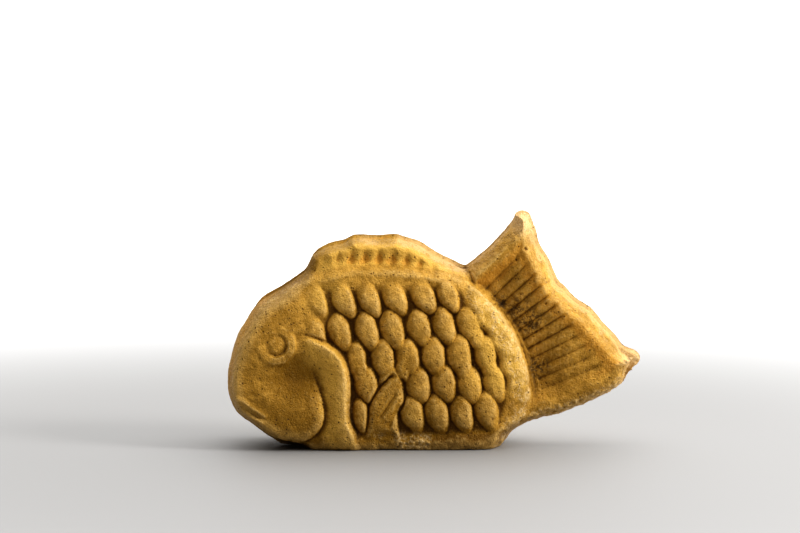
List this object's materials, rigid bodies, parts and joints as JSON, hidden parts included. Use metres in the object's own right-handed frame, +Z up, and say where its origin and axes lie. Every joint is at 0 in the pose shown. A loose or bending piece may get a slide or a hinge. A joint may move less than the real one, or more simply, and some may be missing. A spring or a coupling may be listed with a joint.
{
  "type": "taiyaki",
  "caption": "Fish-shaped cake baked in a mould, with scales, fins, an eye and a fanned tail, standing on its flat belly.",
  "frame": {"origin": "below the middle of the cake's box, on the surface that it stands on", "axes": "+X from the mouth to the tail, +Y from the fish's left side to its right side, +Z up"},
  "size_m": [0.1504, 0.0337, 0.0853],
  "materials": {
    "baked_batter": "golden-brown baked batter, dull with a faint sheen of oil"
  },
  "bodies": {
    "root": {"taiyaki": "baked_batter"}
  },
  "joints": []
}
